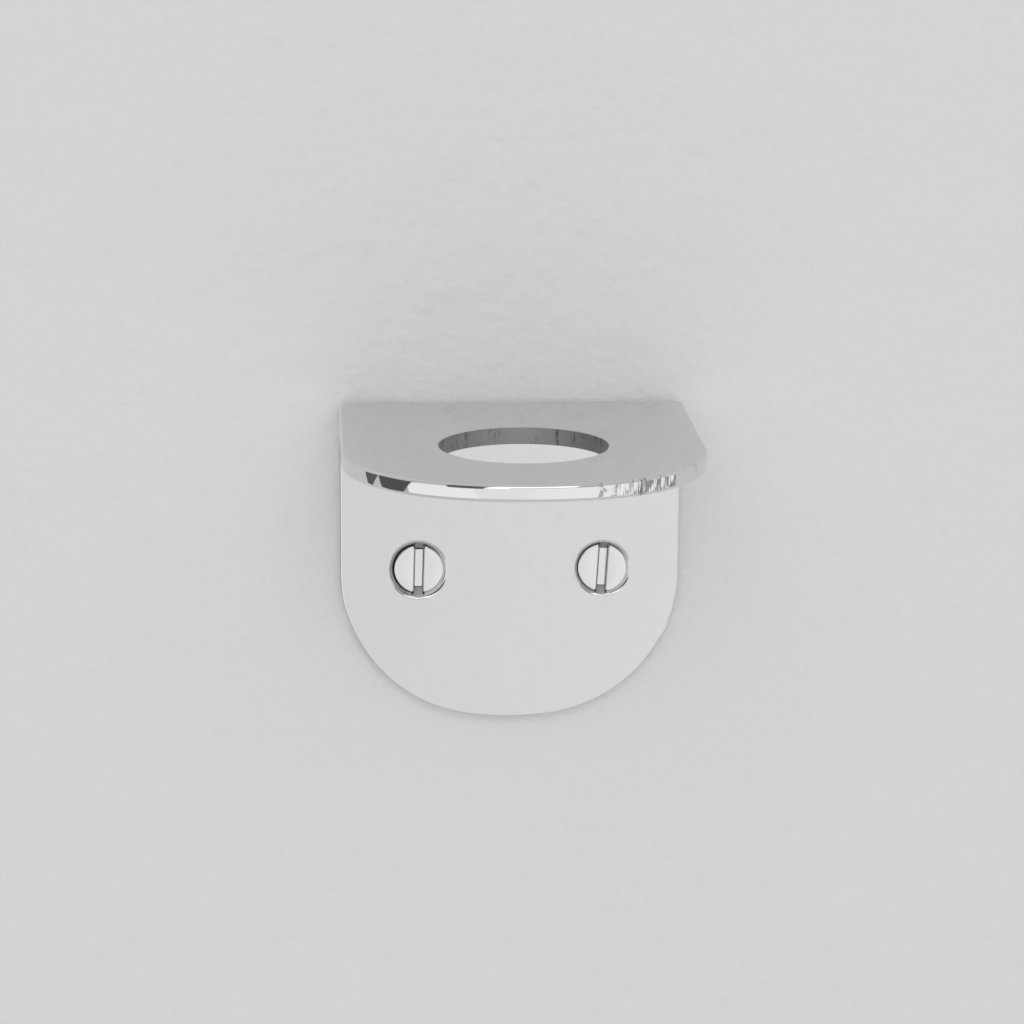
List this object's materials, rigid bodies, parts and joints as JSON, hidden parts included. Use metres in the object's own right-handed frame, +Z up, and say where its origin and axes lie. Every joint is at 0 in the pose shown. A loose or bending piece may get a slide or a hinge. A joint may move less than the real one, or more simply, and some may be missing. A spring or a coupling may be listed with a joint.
{
  "type": "sash lift handle",
  "caption": "L-shaped sash lift with a rounded backplate, a level finger flange with a round hole, and slotted countersunk screws.",
  "frame": {"origin": "on the backplate's back face, midway between the two screw holes", "axes": "+Z up, +X to the right of someone facing the handle, +Y out of the back face into the sash"},
  "size_m": [0.05, 0.0757, 0.048],
  "materials": {
    "polished_nickel": "polished",
    "screw_nickel": "polished"
  },
  "bodies": {
    "root": {"lift_plate": "polished_nickel", "screw_left": "screw_nickel", "screw_right": "screw_nickel"}
  },
  "joints": []
}
